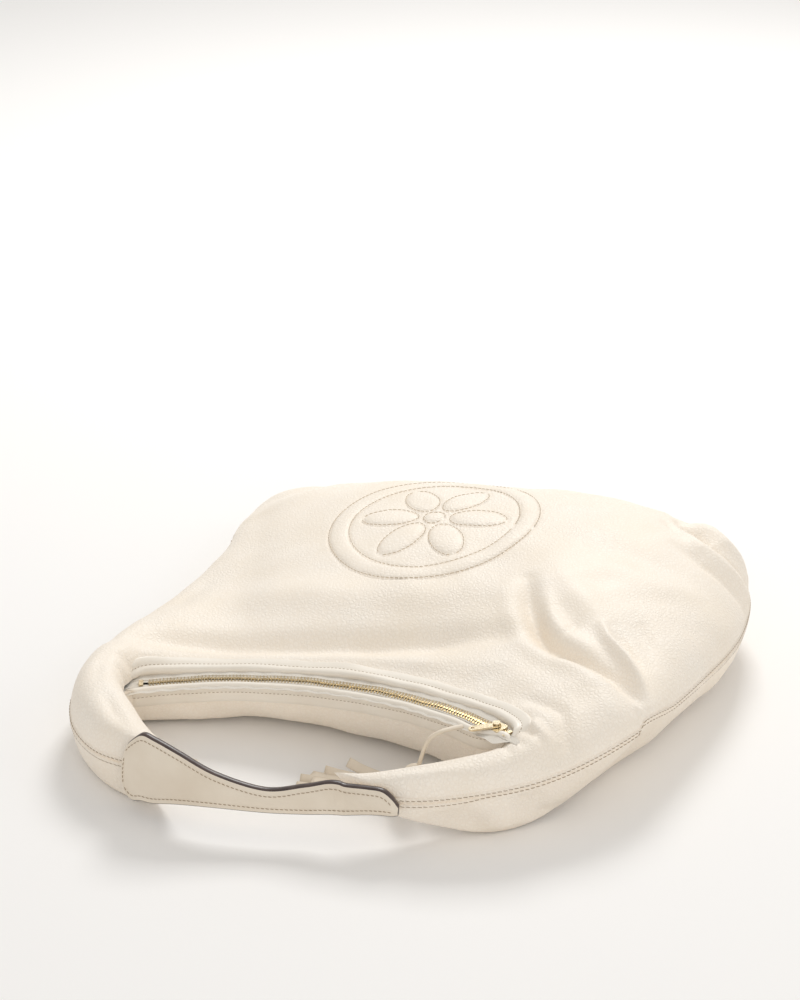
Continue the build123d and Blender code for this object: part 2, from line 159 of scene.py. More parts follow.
def base_surface(front, u, v, inset=0.0):
    """Slumped leather surface; u runs along the stations and v from the inner edge to the seam."""
    seam = smooth_rows([s[0] for s in STATIONS], u)[:, None, :]
    edge = smooth_rows(edge_points(front), u)[:, None, :]
    crest = smooth_rows([s[2] for s in STATIONS], u) - inset
    floor = np.maximum(smooth_rows([s[3] for s in STATIONS], u), 0.0) + inset
    peak = smooth_rows([s[4] for s in STATIONS], u) if front else np.full((len(u), 1), 0.5)
    body = body_share(u)[:, None]
    place = np.broadcast_to(v[None, :], (len(u), len(v)))
    warped = place ** (np.log(0.5) / np.log(peak))
    reach = np.abs(2 * warped - 1)
    near_edge = warped < 0.5
    if front:
        power = np.where(near_edge, 0.5 + 0.32 * body, 0.5)
        share = np.maximum(1 - reach ** 2.3, 0) ** power
    else:
        tuck = (smoothstep(16.0, 17.6, u) * (1 - smoothstep(20.6, 22.0, u)))[:, None] * ~near_edge
        wall = body * near_edge
        fullness = np.maximum(1 - reach ** (4.0 - 2.2 * tuck + 6.0 * wall), 0)
        share = fullness ** (0.5 + 0.75 * tuck - 0.12 * wall)
    share = share * (smoothstep(0, 0.35, u) * (1 - smoothstep(TIP - 0.35, TIP, u)))[:, None]
    if inset:
        place = 0.5 + (place - 0.5) * (1 - 0.07 * inset / 3)
    chord = edge * (1 - place[..., None]) + seam * place[..., None]
    limit = crest if front else floor
    points = chord.copy()
    points[..., 2] = chord[..., 2] * (1 - share) + limit * share
    return points


def normals_of(points):
    du = np.gradient(points, axis=0)
    dv = np.gradient(points, axis=1)
    normal = np.cross(du, dv)
    length = np.linalg.norm(normal, axis=-1, keepdims=True)
    return normal / np.maximum(length, 1e-9)


def row_lengths(points):
    """Distance along v from the first column."""
    steps = np.linalg.norm(np.diff(points, axis=1), axis=-1)
    return np.concatenate([np.zeros((len(points), 1)), np.cumsum(steps, axis=1)], axis=1)


def distance_to_line(xy, line):
    """Distance from points to a polyline, and the place along it from 0 to 1."""
    best = np.full(xy.shape[:-1], 1e9)
    along = np.zeros(xy.shape[:-1])
    line = np.asarray(line, float)
    runs = np.linalg.norm(np.diff(line, axis=0), axis=1)
    total, before = runs.sum(), 0.0
    for a, b, run in zip(line[:-1], line[1:], runs):
        t = np.clip(((xy - a) @ (b - a)) / run ** 2, 0, 1)
        gap = np.linalg.norm(xy - (a + t[..., None] * (b - a)), axis=-1)
        closer = gap < best
        best = np.where(closer, gap, best)
        along = np.where(closer, (before + t * run) / total, along)
        before += run
    return best, along


def fold(xy, line, height, width):
    """A ridge (height > 0) or valley along a line, dying out at both ends."""
    gap, along = distance_to_line(xy, line)
    fade = np.sin(np.pi * np.clip(along * 0.9 + 0.05, 0, 1)) ** 0.7
    return height * fade * np.exp(-(gap / width) ** 2)


# Folds of the front panel: (points, height, width). Valleys are negative.
FRONT_FOLDS = [
    ([(-183, -86), (-161, -67), (-136, -54), (-101, -45), (-67, -37), (-31, -29), (4, -22), (38, -14),
      (73, -8), (100, -6)], -9.0, 12),
    ([(-178, -102), (-144, -84), (-100, -68), (-50, -57), (4, -47), (50, -41), (90, -40), (118, -60)],
     4.0, 12),
    ([(-170, -20), (-127, 6), (-90, 11), (-53, 17), (-16, 21), (20, 28), (53, 39), (80, 62)], 4.5, 18),
    ([(70, 48), (79, 28), (92, 6), (106, -10), (122, -20),
      (140, -26), (158, -34), (174, -41), (186, -44)], -9.0, 6.5),
    ([(84, 44), (95, 20), (108, 5), (124, -6), (142, -12)], 3.5, 7),
    ([(60, 30), (72, 10), (90, -14), (112, -30), (140, -38)], 2.5, 8),
    ([(88, 60), (108, 42), (124, 28), (142, 14)], 4.0, 13),
    ([(138, 14), (147, 0), (157, -10), (168, -20), (179, -31), (190, -44)], 9.0, 4.4),
    ([(146, 14), (158, 0), (170, -10), (182, -22)], -3.0, 6),
    ([(100, -84), (126, -92), (142, -108), (134, -130)], 4.0, 6),
    ([(114, -72), (144, -84), (158, -106), (148, -132)], -3.2, 6),
    ([(156, 30), (172, 10), (186, -14)], -3.5, 9),
    ([(120, -30), (140, -36), (160, -50), (176, -72)], 3.5, 11),
    ([(100, -2), (96, 6), (90, 22)], -2.0, 4),
    ([(110, -10), (118, 0), (121, 14)], -1.5, 4),
    ([(104, -108), (120, -112), (136, -122)], -1.5, 3),
    ([(108, -100), (126, -104), (146, -116)], -1.8, 3.2),
    ([(116, -92), (134, -96), (152, -108)], -1.6, 3.4),
    ([(106, -116), (120, -122), (130, -132)], -1.2, 3),
    ([(112, -84), (132, -86), (150, -98)], 1.6, 5),
    ([(112, 204), (126, 200), (140, 192), (152, 184)], -7.0, 4.5),
    ([(118, 196), (134, 194), (150, 188)], 2.2, 6),
    ([(138, 182), (152, 172), (164, 160), (176, 156), (194, 162)], -13.0, 5),
    ([(140, 194), (156, 184), (172, 176), (190, 178)], 9.0, 6),
    ([(150, 200), (166, 194), (182, 192)], -9.0, 5),
    ([(146, 160), (166, 148), (186, 144), (204, 148)], 6.5, 7),
    ([(150, 138), (172, 130), (204, 130)], -4.0, 5),
    ([(128, 172), (141, 162), (154, 150)], -2.6, 4),
    ([(-196, 160), (-180, 168), (-160, 186), (-150, 200)], -3.0, 9),
    ([(-200, 130), (-178, 140), (-150, 160), (-130, 184)], 2.0, 10),
    ([(-186, -40), (-176, -10), (-172, 30)], -2.5, 9),
    ([(-168, -124), (-150, -116), (-132, -102)], -1.6, 4),
    ([(-174, -112), (-156, -104), (-138, -92)], -1.2, 4),
    ([(120, 70), (150, 84), (188, 80)], 2.2, 16),
    ([(100, 104), (140, 98), (186, 100)], -2.0, 12),
    ([(66, -168), (84, -164), (104, -152)], 1.2, 4),
    ([(60, -166), (80, -158), (98, -146)], -1.2, 3),
    ([(-122, -186), (-136, -176), (-152, -160)], -1.6, 5),
    ([(-164, -150), (-172, -132), (-176, -112)], -1.6, 6),
]
BACK_FOLDS = [
    ([(-128, -100), (-112, -86), (-92, -78)], 5.0, 7),
    ([(-122, -92), (-104, -82), (-86, -76)], -3.5, 3.5),
    ([(-134, -92), (-116, -76), (-96, -66)], -3.0, 4),
    ([(150, -100), (172, -60), (186, -20)], -4.0, 8),
    ([(122, -134), (142, -116), (154, -96)], -3.5, 5),
    ([(104, -146), (126, -136), (146, -112)], 3.5, 5),
    ([(88, -166), (106, -156), (122, -140)], -4.0, 4.5),
    ([(98, -162), (116, -150), (130, -134)], 3.0, 4.0),
    ([(134, -140), (146, -122), (150, -104)], -3.0, 4.0),
    ([(186, 10), (190, 50), (196, 90)], -3.0, 7),
]


def petal_ring(xy):
    """Signed distance to the stitched emblem: six petals inside a ring; negative inside."""
    rel = xy - EMBLEM_CENTRE
    radius = np.linalg.norm(rel, axis=-1)
    best = np.abs(radius - (EMBLEM_RADIUS - RING_WIDTH / 2)) - RING_WIDTH / 2
    for petal in range(PETAL_COUNT):
        turn = math.radians(360 / PETAL_COUNT * petal + PETAL_TURN)
        along = rel[..., 0] * math.cos(turn) + rel[..., 1] * math.sin(turn)
        across = -rel[..., 0] * math.sin(turn) + rel[..., 1] * math.cos(turn)
        reach = np.sqrt(((along - PETAL_PLACE) / PETAL_LENGTH) ** 2 + (across / PETAL_WIDTH) ** 2)
        best = np.minimum(best, (reach - 1) * PETAL_WIDTH)
    return np.minimum(best, radius - HUB_RADIUS)


def emblem_relief(xy):
    inside = petal_ring(xy)
    puff = 1.6 * (1 - np.exp(-np.clip(-inside, 0, None) / 3.0)) * (inside < 0)
    groove = -0.9 * np.exp(-(inside / 1.0) ** 2)
    return puff + groove


def emblem_lines():
    """Closed outlines of the emblem, as plan points."""
    turn = np.linspace(0, 2 * np.pi, 241)
    circle = np.stack([np.cos(turn), np.sin(turn)], axis=1)
    radii = (EMBLEM_RADIUS, EMBLEM_RADIUS - RING_WIDTH, HUB_RADIUS)
    lines = [EMBLEM_CENTRE + circle * radius for radius in radii]
    for petal in range(PETAL_COUNT):
        angle = math.radians(360 / PETAL_COUNT * petal + PETAL_TURN)
        ahead = np.array([math.cos(angle), math.sin(angle)])
        side = np.array([-ahead[1], ahead[0]])
        lines.append(EMBLEM_CENTRE + ahead * PETAL_PLACE + circle[:, :1] * PETAL_LENGTH * ahead
                     + circle[:, 1:] * PETAL_WIDTH * side)
    return lines


def soft_waves(xy):
    """Slow unevenness of soft leather."""
    x, y = xy[..., 0], xy[..., 1]
    return (0.7 * np.sin(x / 23 + 1.3 * np.sin(y / 41)) * np.sin(y / 29 + 0.7)
            + 0.45 * np.sin((x + 1.7 * y) / 17 + 2.1 * np.sin(x / 37)) * np.sin((y - 0.6 * x) / 31)
            + 0.25 * np.sin((1.4 * x - y) / 9.5 + 1.8 * np.sin(y / 19)))


def seam_relief(gap):
    """Groove at the seam, a raised lip, and the shallow channel of the topstitch."""
    return (-1.5 * np.exp(-(gap / 0.9) ** 2) + 0.75 * np.exp(-((gap - 1.9) / 0.9) ** 2)
            - 0.55 * np.exp(-((gap - STITCH_OFFSET) / 0.75) ** 2))


def seam_step(xy, to_seam):
    """Rise of the body above the strap arm's seam, where the two meet on the right.

    The step isn't limited sideways, so the left seam has a small one too, near (-200, 112).
    """
    ahead = (xy - SEAM_STEP) @ SEAM_STEP_HEADING
    rise = smoothstep(-45, -4, ahead) * (1 - smoothstep(-2.5, 2.5, ahead))
    return SEAM_STEP_HEIGHT * rise * np.exp(-(to_seam / 20) ** 2)


def leather_points(front, u, v):
    """Finished surface of one leather half, with its outward normals."""
    base = base_surface(front, u, v)
    normal = normals_of(base)
    if (normal[len(u) // 2, len(v) // 2, 2] > 0) != front:
        normal = -normal
    lengths = row_lengths(base)
    to_seam = lengths[:, -1:] - lengths
    body = body_share(u)[:, None]
    xy = base[..., :2]
    lift = seam_relief(to_seam) + soft_waves(xy) * smoothstep(4, 30, to_seam) * (0.4 + 0.6 * body)
    for line, height, width in (FRONT_FOLDS if front else BACK_FOLDS):
        near_edges = smoothstep(2, 14, to_seam) * smoothstep(8, 26, lengths + 30 * (1 - body))
        lift = lift + fold(xy, line, height, width) * near_edges
    if front:
        lift = lift + emblem_relief(xy) * smoothstep(0, 20, to_seam)
    else:
        lift = lift * smoothstep(1.0, 12.0, base[..., 2])
    points = base + normal * lift[..., None]
    points[..., 2] += seam_step(xy, to_seam)
    points[..., 2] = np.maximum(points[..., 2], 0.05)
    return points, normal


def cosine_spread(count):
    return 0.5 - 0.5 * np.cos(np.linspace(0, np.pi, count))


def station_spread(dense, sparse):
    """Places along the stations, denser where the emblem is."""
    places = [np.linspace(k, k + 1, dense if 7 <= k <= BODY_LAST else sparse, endpoint=False)
              for k in range(len(STATIONS) - 1)]
    return np.append(np.concatenate(places), TIP)


# ---- mesh helpers ----
def make_mesh(name, points, faces, smooth=True):
    mesh = bpy.data.meshes.new(name)
    world = (np.asarray(points, float).reshape(-1, 3) + SHIFT) / 1000
    mesh.from_pydata(world.tolist(), [], [tuple(face) for face in faces])
    mesh.update()
    if smooth:
        mesh.polygons.foreach_set("use_smooth", [True] * len(mesh.polygons))
    obj = bpy.data.objects.new(name, mesh)
    bpy.context.scene.collection.objects.link(obj)
    return obj


def grid_faces(rows, columns, wrap=False, flip=False):
    index = np.arange(rows * columns).reshape(rows, columns)
    if wrap:
        index = np.hstack([index, index[:, :1]])
    corners = [index[:-1, :-1], index[1:, :-1], index[1:, 1:], index[:-1, 1:]]
    quads = np.stack(corners, axis=-1).reshape(-1, 4)
    return quads[:, ::-1] if flip else quads


def grid_mesh(name, points, flip=False):
    rows, columns = points.shape[:2]
    return make_mesh(name, points, grid_faces(rows, columns, flip=flip).tolist())


def along_line(points, step, margin=0.0):
    """Points and unit tangents at even distances along a polyline."""
    points = np.asarray(points, float)
    runs = np.linalg.norm(np.diff(points, axis=0), axis=1)
    total = np.concatenate([[0], np.cumsum(runs)])
    marks = np.arange(margin, total[-1] - margin, step)
    spots = np.stack([np.interp(marks, total, points[:, k]) for k in range(3)], axis=1)
    ahead = np.stack([np.interp(marks + 0.5, total, points[:, k]) for k in range(3)], axis=1)
    behind = np.stack([np.interp(marks - 0.5, total, points[:, k]) for k in range(3)], axis=1)
    tangent = ahead - behind
    tangent /= np.maximum(np.linalg.norm(tangent, axis=1, keepdims=True), 1e-9)
    return spots, tangent, marks, total


def strip(name, path, up, section, closed=True, caps=True):
    """Sweep a cross-section, given as (sideways, upwards) pairs, along a path."""
    path, up = np.asarray(path, float), np.asarray(up, float)
    tangent = np.gradient(path, axis=0)
    tangent /= np.linalg.norm(tangent, axis=1, keepdims=True)
    side = np.cross(tangent, up)
    side /= np.linalg.norm(side, axis=1, keepdims=True)
    lift = np.cross(side, tangent)
    section = np.asarray(section, float)
    if section.ndim == 2:
        section = np.broadcast_to(section, (len(path),) + section.shape)
    points = path[:, None] + side[:, None] * section[..., :1] + lift[:, None] * section[..., 1:]
    rows, columns = points.shape[:2]
    faces = grid_faces(rows, columns, wrap=closed).tolist()
    if closed and caps:
        faces.append(list(range(columns)))
        faces.append(list(range(rows * columns - 1, (rows - 1) * columns - 1, -1)))
    return make_mesh(name, points, faces)


def rounded_section(width, height, corner=0.5, steps=3):
    """Rounded rectangle centred on the origin, as (sideways, upwards) pairs."""
    points = []
    for sx, sy, start in ((1, 1, 0), (-1, 1, 90), (-1, -1, 180), (1, -1, 270)):
        for k in range(steps + 1):
            turn = math.radians(start + 90 * k / steps)
            points.append((sx * (width / 2 - corner) + corner * math.cos(turn),
                           sy * (height / 2 - corner) + corner * math.sin(turn)))
    return points


CAPSULE = [(-0.5, 0.35), (-0.36, 0.9), (0.0, 1.0), (0.36, 0.9), (0.5, 0.35)]


def stitches(name, path, up, pitch=STITCH_PITCH, length=STITCH_LENGTH, radius=STITCH_RADIUS, slant=0.12):
    """A row of thread stitches along a path, sunk slightly into the leather."""
    spots, tangent, marks, total = along_line(path, pitch, pitch)
    normal = np.stack([np.interp(marks, total, np.asarray(up)[:, k]) for k in range(3)], axis=1)
    points, faces = [], []
    for spot, ahead, above in zip(spots, tangent, normal):
        side = np.cross(ahead, above)
        side /= max(np.linalg.norm(side), 1e-9)
        above = np.cross(side, ahead)
        heading = ahead + side * slant
        first = len(points)
        for place, size in CAPSULE:
            dip = -0.55 * radius * (2 * place) ** 2
            centre = spot + heading * place * length + above * (0.25 * radius + dip)
            for k in range(6):
                turn = math.pi * k / 3
                points.append(centre + radius * size * (side * math.cos(turn) + above * math.sin(turn)))
        for ring in range(len(CAPSULE) - 1):
            for k in range(6):
                a = first + ring * 6 + k
                b = first + ring * 6 + (k + 1) % 6
                faces.append((a, b, b + 6, a + 6))
        faces.append(tuple(first + 5 - k for k in range(6)))
        last = first + 6 * (len(CAPSULE) - 1)
        faces.append(tuple(last + k for k in range(6)))
    return make_mesh(name, np.array(points), faces)


# ---- materials ----
def srgb(red, green, blue):
    def linear(value):
        value /= 255
        return value / 12.92 if value <= 0.04045 else ((value + 0.055) / 1.055) ** 2.4
    return (linear(red), linear(green), linear(blue), 1.0)


def new_material(name, roughness, sheen=0.0, metallic=0.0, coat=0.0):
    material = bpy.data.materials.new(name)
    material.use_nodes = True
    nodes, links = material.node_tree.nodes, material.node_tree.links
    shader = nodes["Principled BSDF"]
    shader.inputs["Roughness"].default_value = roughness
    shader.inputs["Metallic"].default_value = metallic
    shader.inputs["Sheen Weight"].default_value = sheen
    shader.inputs["Sheen Roughness"].default_value = 0.5
    shader.inputs["Coat Weight"].default_value = coat
    shader.inputs["Coat Roughness"].default_value = 0.35
    place = nodes.new("ShaderNodeTexCoord")
    return material, nodes, links, shader, place.outputs["Object"]


def texture(nodes, links, kind, where, scale, **settings):
    node = nodes.new("ShaderNodeTex" + kind)
    links.new(where, node.inputs["Vector"])
    node.inputs["Scale"].default_value = scale
    for key, value in settings.items():
        if key in node.inputs:
            node.inputs[key].default_value = value
        else:
            setattr(node, key, value)
    return node


def ramp(nodes, links, source, stops):
    node = nodes.new("ShaderNodeValToRGB")
    links.new(source, node.inputs["Fac"])
    elements = node.color_ramp.elements
    while len(elements) < len(stops):
        elements.new(0.5)
    for element, (position, colour) in zip(elements, stops):
        element.position = position
        element.color = colour
    return node.outputs["Color"]


def bump(nodes, links, shader, height, strength, distance, before=None):
    node = nodes.new("ShaderNodeBump")
    node.inputs["Strength"].default_value = strength
    node.inputs["Distance"].default_value = distance
    links.new(height, node.inputs["Height"])
    if before is not None:
        links.new(before, node.inputs["Normal"])
    links.new(node.outputs["Normal"], shader.inputs["Normal"])
    return node.outputs["Normal"]


def scaled(nodes, links, source, low, high, out_low, out_high):
    """Map a range of a value smoothly onto another range."""
    node = nodes.new("ShaderNodeMapRange")
    node.interpolation_type = "SMOOTHSTEP"
    links.new(source, node.inputs["Value"])
    limits = {"From Min": low, "From Max": high, "To Min": out_low, "To Max": out_high}
    for socket, value in limits.items():
        node.inputs[socket].default_value = value
    return node.outputs["Result"]


def product(nodes, links, first, second):
    """Multiply two values."""
    node = nodes.new("ShaderNodeMath")
    node.operation = "MULTIPLY"
    links.new(first, node.inputs[0])
    links.new(second, node.inputs[1])
    return node.outputs["Value"]


def pebbled_leather():
    """Soft full-grain leather: rounded pebbles between fine creases, stronger in some patches, with
    painted shade in the creases.
    """
    material, nodes, links, shader, where = new_material("pebbled_leather", 0.5)
    shader.inputs["Specular IOR Level"].default_value = 0.35
    warp = texture(nodes, links, "Noise", where, 130.0, Detail=2.0)
    mixed = nodes.new("ShaderNodeVectorMath")
    mixed.operation = "MULTIPLY_ADD"
    links.new(warp.outputs["Color"], mixed.inputs[0])
    mixed.inputs[1].default_value = (0.0022, 0.0022, 0.0022)
    links.new(where, mixed.inputs[2])
    pebble = texture(nodes, links, "Voronoi", mixed.outputs["Vector"], 340.0, feature="DISTANCE_TO_EDGE")
    small = texture(nodes, links, "Voronoi", mixed.outputs["Vector"], 780.0, feature="DISTANCE_TO_EDGE")
    fine = texture(nodes, links, "Noise", where, 2200.0, Detail=3.0)
    slow = texture(nodes, links, "Noise", where, 22.0, Detail=3.0)
    patch = texture(nodes, links, "Noise", where, 11.0, Detail=2.0)
    colour = ramp(nodes, links, slow.outputs["Fac"],
                  [(0.3, srgb(247, 236, 220)), (0.55, srgb(250, 240, 226)), (0.8, srgb(251, 243, 231))])
    dome = scaled(nodes, links, pebble.outputs["Distance"], 0.0, 0.32, 0.0, 1.0)
    little = scaled(nodes, links, small.outputs["Distance"], 0.0, 0.3, 0.0, 1.0)
    vary = scaled(nodes, links, patch.outputs["Fac"], 0.3, 0.7, 0.45, 1.0)
    # painted shade: the base colour is slightly darkened in the creases between the pebbles
    crease_shade_mix = nodes.new("ShaderNodeMix")
    crease_shade_mix.data_type = "RGBA"
    crease_shade_mix.blend_type = "MULTIPLY"
    painted_crease_shade = ramp(nodes, links, dome, [(0.0, srgb(226, 208, 184)), (0.55, (1, 1, 1, 1))])
    crease_shade_mix.inputs["Factor"].default_value = 0.1
    links.new(colour, crease_shade_mix.inputs["A"])
    links.new(painted_crease_shade, crease_shade_mix.inputs["B"])
    links.new(crease_shade_mix.outputs["Result"], shader.inputs["Base Color"])
    first = bump(nodes, links, shader, fine.outputs["Fac"], 0.10, 0.0002)
    second = bump(nodes, links, shader, product(nodes, links, little, vary), 0.35, 0.00015, first)
    bump(nodes, links, shader, product(nodes, links, dome, vary), 0.5, 0.0005, second)
    return material


def smooth_leather(name, dark, light, roughness=0.42):
    """Leather with a fine even grain."""
    material, nodes, links, shader, where = new_material(name, roughness, sheen=0.04)
    slow = texture(nodes, links, "Noise", where, 35.0, Detail=4.0)
    grain = texture(nodes, links, "Voronoi", where, 1300.0, feature="SMOOTH_F1")
    fine = texture(nodes, links, "Noise", where, 2600.0, Detail=3.0)
    colour = ramp(nodes, links, slow.outputs["Fac"], [(0.3, dark), (0.7, light)])
    links.new(colour, shader.inputs["Base Color"])
    first = bump(nodes, links, shader, fine.outputs["Fac"], 0.12, 0.00015)
    bump(nodes, links, shader, grain.outputs["Distance"], 0.22, 0.0002, first)
    return material


def edge_paint():
    """Dark paint on the pad's cut edge."""
    material, nodes, links, shader, where = new_material("edge_paint", 0.36, coat=0.2)
    slow = texture(nodes, links, "Noise", where, 120.0, Detail=3.0)
    colour = ramp(nodes, links, slow.outputs["Fac"], [(0.3, srgb(58, 44, 40)), (0.7, srgb(84, 68, 62))])
    links.new(colour, shader.inputs["Base Color"])
    bump(nodes, links, shader, slow.outputs["Fac"], 0.2, 0.0003)
    return material


def thread(name, dark, light):
    """Twisted sewing thread."""
    material, nodes, links, shader, where = new_material(name, 0.6, sheen=0.2)
    twist = texture(nodes, links, "Wave", where, 900.0, Distortion=1.0)
    colour = ramp(nodes, links, twist.outputs["Fac"], [(0.2, dark), (0.8, light)])
    links.new(colour, shader.inputs["Base Color"])
    bump(nodes, links, shader, twist.outputs["Fac"], 0.4, 0.0002)
    return material


def woven(name, dark, light, scale):
    """Plain weave made of two crossed sets of waves."""
    material, nodes, links, shader, where = new_material(name, 0.75, sheen=0.25)
    warp = texture(nodes, links, "Wave", where, scale, bands_direction="X")
    weft = texture(nodes, links, "Wave", where, scale, bands_direction="Y")
    both = product(nodes, links, warp.outputs["Fac"], weft.outputs["Fac"])
    links.new(ramp(nodes, links, both, [(0.0, dark), (0.8, light)]), shader.inputs["Base Color"])
    bump(nodes, links, shader, both, 0.5, 0.0003)
    return material


def pale_gold():
    """Polished light gold plating of the zip."""
    material, nodes, links, shader, where = new_material("pale_gold", 0.24, metallic=1.0)
    slow = texture(nodes, links, "Noise", where, 300.0, Detail=4.0)
    stops = [(0.3, srgb(214, 196, 160)), (0.7, srgb(238, 224, 196))]
    links.new(ramp(nodes, links, slow.outputs["Fac"], stops), shader.inputs["Base Color"])
    bump(nodes, links, shader, slow.outputs["Fac"], 0.12, 0.0002)
    return material


def wadding():
    """Loose filling of the strap arms."""
    material, nodes, links, shader, where = new_material("wadding", 0.9, sheen=0.3)
    fibres = texture(nodes, links, "Noise", where, 400.0, Detail=6.0)
    stops = [(0.3, srgb(214, 210, 200)), (0.7, srgb(238, 235, 228))]
    links.new(ramp(nodes, links, fibres.outputs["Fac"], stops), shader.inputs["Base Color"])
    bump(nodes, links, shader, fibres.outputs["Fac"], 0.6, 0.0008)
    return material


LEATHER = pebbled_leather()
SMOOTH = smooth_leather("smooth_leather", srgb(224, 210, 190), srgb(233, 221, 203))
FACING = smooth_leather("facing_leather", srgb(238, 228, 213), srgb(244, 236, 223))
TASSEL = smooth_leather("tassel_leather", srgb(221, 206, 184), srgb(232, 219, 200), 0.55)
PAINT = edge_paint()
THREAD = thread("thread", srgb(150, 128, 102), srgb(184, 164, 136))
PALE_THREAD = thread("pale_thread", srgb(180, 160, 132), srgb(206, 188, 160))
TAPE = woven("zip_tape", srgb(220, 211, 197), srgb(240, 233, 221), 900.0)
LINING = woven("lining_twill", srgb(178, 158, 128), srgb(206, 188, 160), 700.0)
GOLD = pale_gold()
WADDING = wadding()


def dress(obj, material):
    """Give a piece its only material."""
    obj.data.materials.clear()
    obj.data.materials.append(material)
    return obj


def paint_node(name, material):
    """Give a CAD piece that stays visible its material."""
    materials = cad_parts[name].data.materials
    materials.clear()
    materials.append(material)


def over_fold(obj):
    """Bake a piece's placement into its mesh."""
    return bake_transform(obj)


# ---- leather halves ----
def build_leather():
    u = station_spread(48, 30)
    v = cosine_spread(230)
    points, normal = leather_points(True, u, v)
    front = dress(grid_mesh("front_leather", points), LEATHER)
    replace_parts(front, "front_panel", "left_arm_front", "right_arm_front", "emblem_padding")
    back_u = station_spread(24, 24)
    back_points, back_normal = leather_points(False, back_u, cosine_spread(120))
    back = dress(grid_mesh("back_leather", back_points, flip=True), LEATHER)
    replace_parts(back, "back_panel", "left_arm_back", "right_arm_back")
    for piece in (front, back):
        over_fold(piece)
    stitch_emblem(points, normal)
    for name, grid, up in (("front", points, normal), ("back", back_points, back_normal)):
        path, above = line_from_seam(grid, up, STITCH_OFFSET)
        over_fold(dress(stitches("seam_stitches_" + name, path, above), THREAD))


def stitch_emblem(points, normal):
    """Stitches along the emblem's outlines, on the finished surface."""
    rows = slice(None, None, 2)
    cloud, ups = points[rows, rows].reshape(-1, 3), normal[rows, rows].reshape(-1, 3)
    near = np.linalg.norm(cloud[:, :2] - EMBLEM_CENTRE, axis=1) < EMBLEM_RADIUS + 8
    cloud, ups = cloud[near], ups[near]
    tree = KDTree(len(cloud))
    for index, point in enumerate(cloud):
        tree.insert((point[0], point[1], 0.0), index)
    tree.balance()
    for number, line in enumerate(emblem_lines()):
        path, above = [], []
        for x, y in line:
            found = tree.find_n((x, y, 0.0), 4)
            weights = np.array([1 / (f[2] + 0.05) for f in found])
            weights /= weights.sum()
            picks = [f[1] for f in found]
            path.append((x, y, float(weights @ cloud[picks, 2]) + 0.35))
            above.append(weights @ ups[picks])
        path = np.array(path)
        around = np.concatenate([path[-9:-1, 2], path[:, 2], path[1:9, 2]])
        path[:, 2] = np.convolve(around, np.ones(17) / 17, "valid") + 0.2
        row = stitches("emblem_stitches_%d" % number, path, above, radius=EMBLEM_STITCH_RADIUS, slant=0.06)
        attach(dress(row, PALE_THREAD), "bag")


def at_distance(values, lengths, target):
    """Value in each row where the distance along the row reaches that row's target."""
    return np.array([[np.interp(target[r], lengths[r], values[r, :, k]) for k in range(3)]
                     for r in range(len(values))])


def line_from_seam(grid, up, distance):
    """Line on a leather half at a distance from the outer seam."""
    lengths = row_lengths(grid)
    target = lengths[:, -1] - distance
    return at_distance(grid, lengths, target), at_distance(up, lengths, target)


# ---- zip ----
def chain_wave(angle):
    """Slight waviness of the zip chain."""
    return 0.5 * np.sin(np.radians(angle) * 31) + 0.25 * np.sin(np.radians(angle) * 73 + 1)


def zip_teeth(side):
    """One row of rounded teeth that reach between those of the other row."""
    step = math.degrees(TOOTH_PITCH / ZIP_RADIUS)
    start = 90 - ZIP_HALF_ANGLE + 1.0 + (step / 2 if side < 0 else 0)
    count = int(2 * (ZIP_HALF_ANGLE - 1.0) / step)
    profile = [(-1.1, 0.3), (-0.7, 0.56), (0.8, 0.52), (2.2, 0.48), (4.1, 0.46), (4.5, 0.26)]
    points, faces = [], []
    for number in range(count):
        angle = start + step * number
        turn = math.radians(angle)
        out = np.array([math.cos(turn), math.sin(turn), math.cos(turn) * ZIP_SLOPE])
        along = np.array([-math.sin(turn), math.cos(turn), -math.sin(turn) * ZIP_SLOPE])
        above = np.array([-ZIP_SLOPE, 0, 1.0])
        middle = zip_point(angle, float(chain_wave(angle)))
        first = len(points)
        for reach, half in profile:
            centre = middle + out * side * reach + along * side * reach * 0.22
            for k in range(8):
                corner = math.pi * (k + 0.5) / 4
                width = half * 1.155 * math.cos(corner)
                height = 0.2 + 1.25 * half / 0.56 * math.sin(corner)
                points.append(centre + along * width + above * height)
        for ring in range(len(profile) - 1):
            for k in range(8):
                a, b = first + ring * 8 + k, first + ring * 8 + (k + 1) % 8
                faces.append((a, b, b + 8, a + 8))
        faces.append(tuple(first + 7 - k for k in range(8)))
        faces.append(tuple(first + 8 * (len(profile) - 1) + k for k in range(8)))
    name = "zip_teeth_%s_detail" % ("front" if side > 0 else "back")
    return make_mesh(name, np.array(points), faces, smooth=False)


def zip_tape(side, angles):
    """One tape: parted where the slider runs, and narrower at the zip's right end."""
    narrow = 1 - 0.62 * smoothstep(0.5 - ZIP_HALF_ANGLE, -1.5 - ZIP_HALF_ANGLE, angles - 90)
    beyond = smoothstep(ZIP_HALF_ANGLE - 0.9, ZIP_HALF_ANGLE + 0.1, np.abs(angles - 90))
    inner = 1.5 * side * (1 - beyond) + chain_wave(angles)
    offsets = np.linspace(0.0, TAPE_WIDTH, 12) * side
    columns = [zip_point(angles, offset * narrow + inner * max(0.0, 1 - abs(offset) / 9))
               for offset in offsets]
    tape = np.stack(columns, axis=1)
    tape[..., 2] += 0.35 * np.sin(np.radians(angles) * 120)[:, None] * np.linspace(0, 1, 12)[None]
    return tape


